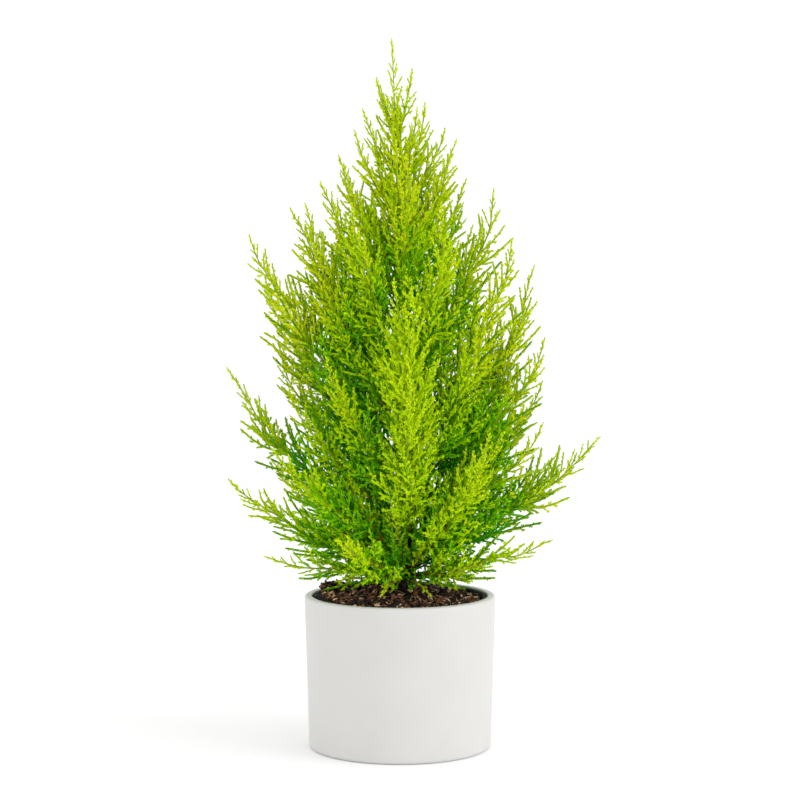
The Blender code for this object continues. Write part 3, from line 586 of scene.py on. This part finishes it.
LEADER_TIP = (-0.0077, 0.0, 0.6545)

# Smaller side sprays rise between the limbs. Each counts to the mass whose name it bears.
SIDE_SPRAYS = {
    "mid_left": (0.210, 160, 0.125, 0.375, 0.08),
    "left_front_inner": (0.205, -160, 0.108, 0.338, 0.08),
    "right_outer": (0.205, 8, 0.135, 0.338, 0.08),
    "low_right": (0.190, -20, 0.138, 0.305, 0.08),
    "low_heart_right": (0.188, -35, 0.112, 0.300, 0.08),
    "low_front": (0.200, -84, 0.100, 0.428, 0.12),
    "skirt_left": (0.166, 165, 0.120, 0.222, 0.05),
    "skirt_right": (0.160, 0, 0.085, 0.166, 0.0),
    "skirt_front_right": (0.172, -62, 0.080, 0.232, 0.06),
    "collar_right": (0.158, -32, 0.074, 0.162, -0.03),
    "collar_left": (0.158, -138, 0.078, 0.160, -0.03),
    "right_front_shoulder": (0.240, -4, 0.115, 0.396, 0.08),
    "left_upper": (0.325, -170, 0.090, 0.505, 0.06),
    "left_shoulder": (0.290, -163, 0.080, 0.470, 0.07),
    "back_left_upper": (0.262, 150, 0.082, 0.412, 0.08),
    "left_crown": (0.405, -165, 0.052, 0.540, 0.05),
    "right_crown": (0.420, 5, 0.046, 0.550, 0.05),
    "left_tip": (0.500, 175, 0.034, 0.590, 0.03),
    "top_left": (0.548, 175, 0.018, 0.612, 0.02),
    "right_tip": (0.510, -8, 0.024, 0.596, 0.03),
    "front_tip": (0.455, -95, 0.032, 0.560, 0.04),
    "back_crown": (0.440, 80, 0.034, 0.566, 0.04),
    "low_right_front": (0.163, -70, 0.064, 0.198, 0.04),
    "low_front_left": (0.166, -98, 0.058, 0.224, 0.06),
    "low_heart_left": (0.160, -150, 0.070, 0.206, 0.05),
    "low_back_right": (0.162, 62, 0.072, 0.200, 0.05),
    "low_back_left": (0.164, 112, 0.070, 0.206, 0.05),
    "skirt_back": (0.158, 84, 0.078, 0.164, 0.0),
}
INNER_FOOT, INNER_TOP = 0.162, 0.540
LEAFLESS_SHARE = 0.06
GOLDEN_TURN = math.radians(137.5)
SWAY = 0.0020
SWAY_LENGTH = 0.085
SWAY_FADE = 0.06

# Each order of branching: the first and the next places, from a limb's tip down, with their growth;
# the part near the tip that costs a new limb its length, the growth with the distance from there,
# the least and the most length; the angle, the lift, the limb's bare share, and the spread of sizes.
SHOOT_RULE = (0.0075, 0.0042, 0.009, 0.0042, 0.47, 0.0030, 0.068, 29, 0.16, 0.04, 0.24)
TWIG_RULE = (0.0055, 0.0041, 0.012, 0.0030, 0.37, 0.0022, 0.028, 36, 0.08, 0.05, 0.24)
TWIGLET_RULE = (0.0040, 0.0043, 0.015, 0.0018, 0.31, 0.0022, 0.0085, 40, 0.03, 0.08, 0.28)
INNER_RULE = (0.0050, 0.0080, 0.0, 0.0, 1.0, 0.0300, 0.046, 44, 0.25, 0.0, 0.30)
LEADER_SLENDERNESS = 0.66
LEAFY_SHARE = 0.60
SHOOT_RADIUS = 0.00085
TWIG_RADIUS = 0.00082
TWIGLET_RADIUS = 0.00076

LEAF_STEP = 0.0043
LEAF_LENGTH = 0.0027
LEAF_WIDTH = 0.0014
LEAF_ANGLE = math.radians(21)
CLEAR_OF_MIX = 0.0015

# Leaf tints from deep green to pale lime, and olive tints from darker to paler: the limits share them out by the
# painted light and shade worked out below.
LIME_COLOURS = ("#36AE06", "#58C806", "#7CDA06", "#A2E606", "#C8EE06", "#E0F010")
LIME_LIMITS = (0.05, 0.11, 0.18, 0.26, 0.38)
OLIVE_COLOURS = ("#86B40A", "#A2C40C", "#BED412", "#DAE41A")
OLIVE_LIMITS = (0.14, 0.24, 0.36)
PAINTED_CROWN_LIGHT = 0.50
draw = np.random.default_rng(11)


def ranks(counts):
    """For groups of these sizes laid end to end: the group of each member and its place in it."""
    owner = np.repeat(np.arange(len(counts)), counts)
    return owner, np.arange(counts.sum()) - np.repeat(np.cumsum(counts) - counts, counts)


def turned_out(along, turn, angle):
    """Directions that stand off others by an angle, at a turn round them: along cos(angle) +
    (first cos(turn) + second sin(turn)) sin(angle)."""
    first, second = across(along)
    out = first * np.cos(turn)[:, None] + second * np.sin(turn)[:, None]
    return along * np.cos(angle)[:, None] + out * np.sin(angle)[:, None]


def at(limbs, t):
    """Points of limbs at shares t of their length. A limb is three vectors, and its line is
    foot + way t + curve t^2."""
    foot, way, curve = limbs
    return foot + way * t + curve * t**2


def bear(limbs, rule, bare=None):
    """Limbs of the next order, in a spiral of golden turns from each tip down. Their length is
    growth x (distance from the tip - tip), between the least and the most. Gives the limb that each
    stands on, its distance from that limb's tip, and the new limbs."""
    first, step, step_growth, tip, growth, least, most, degrees, lift, rule_bare, spread = rule
    foot, way, curve = limbs
    length = np.linalg.norm(way + curve, axis=1)
    leafy = length * (1 - (rule_bare if bare is None else bare))
    ladder = [first]
    while ladder[-1] < leafy.max():
        ladder.append(ladder[-1] + step + step_growth * ladder[-1])
    owner, rung = np.nonzero(np.array(ladder)[None] < leafy[:, None])
    count = len(owner)
    from_tip = np.array(ladder)[rung] * draw.uniform(0.95, 1.05, count)
    t = (1 - from_tip / length[owner])[:, None]
    size = np.clip(growth * (from_tip - tip), least, most) * (1 + draw.uniform(-spread, spread, count))
    turn = rung * GOLDEN_TURN + draw.uniform(0, 2 * math.pi, len(length))[owner] + draw.normal(0, 0.25, count)
    angle = math.radians(degrees) * (1 + draw.uniform(-spread, spread, count))
    along = unit(way[owner] + 2 * curve[owner] * t)
    heading = turned_out(along, turn, angle)
    rise = (size * (lift + draw.normal(0, 0.05, count)))[:, None] * UP
    grown = at((foot[owner], way[owner], curve[owner]), t), heading * size[:, None], rise
    return owner, from_tip, grown


def ends_of(limbs, share):
    """The last share of each limb as a limb of its own."""
    _, way, curve = limbs
    start = 1 - share
    return at(limbs, start), share * (way + 2 * curve * start), share**2 * curve


def clear_of_pot(points):
    """True for points above the potting mix inside the pot, and above or outside its rim."""
    away = np.hypot(points[:, 0], points[:, 1])
    floor = np.where(away < SOIL_RADIUS, soil_height(points[:, 0], points[:, 1]), POT_HEIGHT)
    return (points[:, 2] > floor + CLEAR_OF_MIX) | (away > POT_RIM_RADIUS + CLEAR_OF_MIX)


def swayed(points):
    """Points moved a little by a smooth field of sines of their place, so that no limb runs quite
    true. The field fades towards the trunk."""
    x, y, z = (points * (2 * math.pi / SWAY_LENGTH)).T
    field = np.column_stack((np.sin(1.1 * z + 0.8 * y), np.sin(1.3 * x + 0.9 * z + 2), np.sin(1.2 * x - y + 4)))
    fade = np.clip(np.hypot(points[:, 0], points[:, 1]) / SWAY_FADE, 0, 1)
    return points + SWAY * field * fade[:, None]


def kept(limbs, mask):
    return tuple(part[mask] for part in limbs)


def lines(limbs, shares):
    """Paths of limbs through their points at these shares of the length, swayed."""
    t = np.array(shares)[:, None]
    paths = at([part[:, None] for part in limbs], t)
    return swayed(paths.reshape(-1, 3)).reshape(paths.shape)


def fresh_foliage(name, colour):
    """Waxy young conifer leaf: a strong clean lime, nearly matt because the leaves are so small
    that their gloss never gathers to a highlight."""
    made, tree, surface, _ = new_finish(name, colour, 0.6)
    surface.inputs["Specular IOR Level"].default_value = 0.05
    return made


limbs = {**BOUGHS, **SPRAYS}
masses = (*limbs, *SIDE_SPRAYS, "leader")
nodes = ["foliage_" + name for name in masses]
leader_foot = trunk_point(np.array((LEADER_FOOT,)))
start, bend, end = (np.concatenate(pair) for pair in zip(limb_controls(limbs), limb_controls(SIDE_SPRAYS)))
leader_way = np.array(LEADER_TIP) - leader_foot
plumes = (
    np.concatenate((start, leader_foot)),
    np.concatenate((2 * (bend - start), leader_way)),
    np.concatenate((start - 2 * bend + end, 0 * leader_way)),
)
bare = np.array([LEAFLESS_SHARE] * (len(nodes) - 1) + [0.0])

shoot_plume, shoot_from_tip, shoots = bear(plumes, SHOOT_RULE, bare)
slender = np.where(shoot_plume == len(nodes) - 1, LEADER_SLENDERNESS, 1.0)[:, None]
shoots = shoots[0], shoots[1] * slender, shoots[2] * slender
plume_length = np.linalg.norm(plumes[1] + plumes[2], axis=1)
shoot_out = 1 - shoot_from_tip / plume_length[shoot_plume]
low = clear_of_pot(at(shoots, 1.0)) & clear_of_pot(at(shoots, 0.5))
shoot_plume, shoot_out, shoots = shoot_plume[low], shoot_out[low], kept(shoots, low)

lead = ends_of(plumes, 0.018 / plume_length[:, None])
inner_foot, inner_top = trunk_point(np.array((INNER_FOOT, INNER_TOP)))[:, None]
_, _, inner = bear((inner_foot, inner_top - inner_foot, 0 * inner_foot), INNER_RULE)
inner_count = len(inner[0])
shoot_plume = np.concatenate((shoot_plume, np.arange(len(nodes)), np.full(inner_count, len(nodes) - 1)))
shoot_out = np.concatenate((shoot_out, np.ones(len(nodes)), np.zeros(inner_count)))
shoots = tuple(np.concatenate(parts) for parts in zip(shoots, lead, inner))

twig_shoot, twig_from_tip, twigs = bear(shoots, TWIG_RULE)
low = clear_of_pot(at(twigs, 1.0))
twig_shoot, twig_from_tip, twigs = twig_shoot[low], twig_from_tip[low], kept(twigs, low)
shoot_length = np.linalg.norm(shoots[1] + shoots[2], axis=1)

twiglet_twig, _, twiglets = bear(twigs, TWIGLET_RULE)
low = clear_of_pot(at(twiglets, 1.0))
twiglet_twig, twiglets = twiglet_twig[low], kept(twiglets, low)
leafy = tuple(np.concatenate(parts) for parts in zip(twiglets, twigs, ends_of(shoots, LEAFY_SHARE)))
leafy_shoot = np.concatenate((twig_shoot[twiglet_twig], twig_shoot, np.arange(len(shoot_length))))
from_end = np.concatenate((twig_from_tip[twiglet_twig], twig_from_tip, 0 * shoot_length))

# The tint of a twiglet is partly painted light and shade. It goes by how far out its shoot stands on the
# plume and how near it is to the end of the shoot. On top of that it is painted lighter the further it stands
# out from the trunk, with painted shade deeper inside, and lighter towards the front and the top, where the
# light falls. Painted light lifts it further in the crown, and painted shade darkens it to olive on the outer
# sides away from the front. Each shoot and each plume also varies a little at random.
tip = at(leafy, 1.0)
away = np.hypot(tip[:, 0], tip[:, 1])
crown = 0.165 * np.clip((0.665 - tip[:, 2]) / 0.40, 0.05, 1.0)
# Painted light on the front of the plant.
painted_front_light = np.clip(-tip[:, 1] / 0.12, 0, 1)
plume = shoot_plume[leafy_shoot]
mood = draw.normal(0, 0.06, len(shoot_length))[leafy_shoot] + draw.normal(0, 0.05, len(nodes))[plume]
light = 0.14 * np.clip(away / crown, 0, 1.1) ** 1.5 + 0.30 * shoot_out[leafy_shoot]
light += 0.14 * (1 - from_end / shoot_length[leafy_shoot]) + 0.26 * painted_front_light + mood
light += 0.16 * np.clip((tip[:, 2] - 0.36) / 0.22, 0, 1)
# Painted shade on the outer sides away from the front, and painted light lifting the crown, most on the outer shoots.
outer = np.clip((away / crown - 0.55) / 0.2, 0, 1) * (1 - painted_front_light)
high = np.clip((tip[:, 2] - 0.40) / 0.12, 0, 1) * (0.5 + 0.5 * shoot_out[leafy_shoot])
light = np.maximum(light, PAINTED_CROWN_LIGHT * high) - (0.06 + 0.14 * high) * outer
is_olive = np.maximum(outer, high) > draw.uniform(0.3, 0.8, len(shoot_length))[leafy_shoot]
tint = np.where(is_olive, len(LIME_COLOURS) + np.searchsorted(OLIVE_LIMITS, light), np.searchsorted(LIME_LIMITS, light))

length = np.linalg.norm(leafy[1] + leafy[2], axis=1)
pairs = np.maximum(np.round(length / LEAF_STEP).astype(int), 1)
twig, pair = ranks(pairs)
share = ((pair + 0.55) / pairs[twig] * 0.95)[:, None]
owner = kept(leafy, twig)
leaf_root = at(owner, share)
along = unit(owner[1] + 2 * owner[2] * share)
crossed = draw.uniform(0, math.pi, len(pairs))[twig] + pair * math.pi / 2
angle = LEAF_ANGLE * (1 + draw.uniform(-0.25, 0.35, len(pair)))
leaf_size = LEAF_LENGTH * (0.88 + 0.2 * share[:, 0]) * draw.uniform(0.85, 1.15, len(pair))
leaf_root = swayed(np.concatenate((leaf_root, leaf_root)))
leaf_along = np.concatenate((turned_out(along, crossed, angle), turned_out(along, crossed + math.pi, angle)))
leaf_size = np.concatenate((leaf_size, leaf_size))
leaf_tint = np.concatenate((tint[twig], tint[twig]))
leaf_plume = np.concatenate((plume[twig], plume[twig]))
leaf = np.array(((0.0, -0.5, 0.0), (0.0, 0.5, 0.0), (0.1, 0.0, 0.55), (1.0, 0.0, 0.12)))
leaf_faces = [np.array(((0, 2, 1), (0, 1, 3), (1, 2, 3), (2, 0, 3)))]

# Each tint is the same leaf finish in a lighter or darker colour, carrying painted light and shade.
for number, colour in enumerate(LIME_COLOURS + OLIVE_COLOURS):
    mine = leaf_tint == number
    first, second = across(leaf_along[mine])
    sizes = leaf_size[mine, None] * (1.0, LEAF_WIDTH / LEAF_LENGTH, LEAF_WIDTH / LEAF_LENGTH)
    points, faces = copies(leaf, leaf_faces, leaf_root[mine], (leaf_along[mine], first, second), sizes)
    finish = fresh_foliage(f"painted_light_leaf_{number + 1}", colour)
    leaves = build(f"leaves_{number + 1}", points, faces, finish, smooth=False)
    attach(leaves, "root")
    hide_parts(*sorted({nodes[p] for p in np.unique(leaf_plume[mine])}))

BLUNT = (0, 0.82, 1)
# Twigs and twiglets take their own tint number halved, so they carry the same painted light and shade as the leaves.
TWIG_COLOURS = ("#3EA006", "#7AC406", "#B4DC08", "#96BA0A", "#D2E016")
twig_tint = tint[len(twiglet_twig) :][: len(twig_shoot)] // 2
twiglet_tint = tint[: len(twiglet_twig)] // 2
for number, colour in enumerate(TWIG_COLOURS):
    finish = fresh_foliage(f"green_twig_{number + 1}", colour)
    mine = twiglet_tint == number
    paths = lines(kept(twiglets, mine), BLUNT)
    points, faces = tubes(paths, TWIGLET_RADIUS * np.tile((0.85, 1.2, 1.0), (mine.sum(), 1)), 3)
    piece = build(f"twiglets_{number + 1}", points, faces, finish)
    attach(piece, "root")
    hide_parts(*sorted({nodes[p] for p in np.unique(shoot_plume[twig_shoot[twiglet_twig[mine]]])}))

    mine = twig_tint == number
    paths = lines(kept(twigs, mine), (0, 0.9, 1))
    points, faces = tubes(paths, TWIG_RADIUS * np.tile((0.9, 1.2, 1.0), (mine.sum(), 1)), 3)
    piece = build(f"twigs_{number + 1}", points, faces, finish)
    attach(piece, "root")
    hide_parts(*sorted({nodes[p] for p in np.unique(shoot_plume[twig_shoot[mine]])}))

# Shoots are lime on the outer half of each plume and green further in, and lime wherever they start above 0.42 m:
# painted light in the crown.
bright = (shoot_out > 0.5) | (shoots[0][:, 2] > 0.42)
SHOOT_COLOURS = {"shoots_lime": ("#9CBC0A", bright), "shoots_green": ("#5E9610", ~bright)}
for name, (colour, mine) in SHOOT_COLOURS.items():
    paths = lines(kept(shoots, mine), (0, 0.25, 0.5, 0.75, 0.96, 1))
    taper = 1 - 0.15 * np.linspace(0, 1, 6)
    radii = SHOOT_RADIUS * taper * np.clip(shoot_length[mine] / 0.03, 0.75, 1.3)[:, None]
    points, faces = tubes(paths, radii, 4)
    piece = build(name, points, faces, fresh_foliage(name + "_skin", colour))
    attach(piece, "root")
    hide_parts(*sorted({nodes[p] for p in np.unique(shoot_plume[mine])}))

STEM_RINGS = 18
base = np.array([BOUGH_END_RADIUS * 1.1] * len(nodes))
base[-1] = TRUNK_TIP_RADIUS
STEMS = {
    "stems_wood": (0.0, 0.20, "#5E3A1C", "#90A418"),
    "stems_amber": (0.18, 0.55, "#B09014", "#A0B60E"),
    "stems_green": (0.53, 0.99, "#B4B80C", "#A8C408"),
}
for name, (start, end, low_colour, high_colour) in STEMS.items():
    s = np.linspace(start, end, STEM_RINGS)
    paths = at([part[:, None] for part in plumes], s[:, None])
    paths = swayed(paths.reshape(-1, 3)).reshape(paths.shape)
    radii = np.maximum(base[:, None] * (1 - 0.72 * s), 0.0004)
    points, faces = tubes(paths, radii, 7)
    stems = build(name, points, faces, young_bark(name + "_bark", low_colour, high_colour, 0.19, 0.42))
    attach(stems, "root")
    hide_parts(*sorted(set(nodes)))


# Stage: a plain white floor and white surroundings in soft studio light. A large soft lamp stands
# at the front right, and the camera looks level with the crown from the front.
FLOOR_WHITE = "#FCFCFC"
CAMERA_DISTANCE = 2.005
CAMERA_HEIGHT = 0.440
CAMERA_TILT = math.radians(3.357)
FOCAL_PIXELS = 2172
PHOTO_PIXELS = 800
SENSOR = 36.0

floor_mesh = bpy.data.meshes.new("studio_floor")
floor_mesh.from_pydata([(-9, -9, 0), (9, -9, 0), (9, 9, 0), (-9, 9, 0)], [], [(0, 1, 2, 3)])
floor_mesh.materials.append(new_finish("matt_white_paper", FLOOR_WHITE, 0.9)[0])
studio_floor = bpy.data.objects.new("studio_floor", floor_mesh)
bpy.context.scene.collection.objects.link(studio_floor)

world = bpy.data.worlds.new("white_studio")
world.use_nodes = True
world.node_tree.nodes["Background"].inputs["Color"].default_value = (1.0, 1.0, 1.0, 1.0)
world.node_tree.nodes["Background"].inputs["Strength"].default_value = 1.08
bpy.context.scene.world = world
bpy.context.scene.view_settings.view_transform = "Standard"


def soft_lamp(name, place, target, size, power):
    """A square area lamp at a place, facing a target."""
    lamp = bpy.data.lights.new(name, "AREA")
    lamp.size = size
    lamp.energy = power
    made = bpy.data.objects.new(name, lamp)
    made.location = place
    facing = np.array(target) - np.array(place)
    level = math.hypot(facing[0], facing[1])
    made.rotation_euler = (math.atan2(level, -facing[2]), 0.0, math.atan2(facing[1], facing[0]) - math.pi / 2)
    bpy.context.scene.collection.objects.link(made)
    return made


soft_lamp("key", (3.1, -1.3, 1.8), (0.0, 0.0, 0.30), 2.6, 36.0)

camera = bpy.data.objects.new("camera", bpy.data.cameras.new("camera"))
camera.data.sensor_width = SENSOR
camera.data.lens = FOCAL_PIXELS / PHOTO_PIXELS * SENSOR
camera.location = (0.0, -CAMERA_DISTANCE, CAMERA_HEIGHT)
camera.rotation_euler = (math.pi / 2 - CAMERA_TILT, 0.0, 0.0)
bpy.context.scene.collection.objects.link(camera)
bpy.context.scene.camera = camera
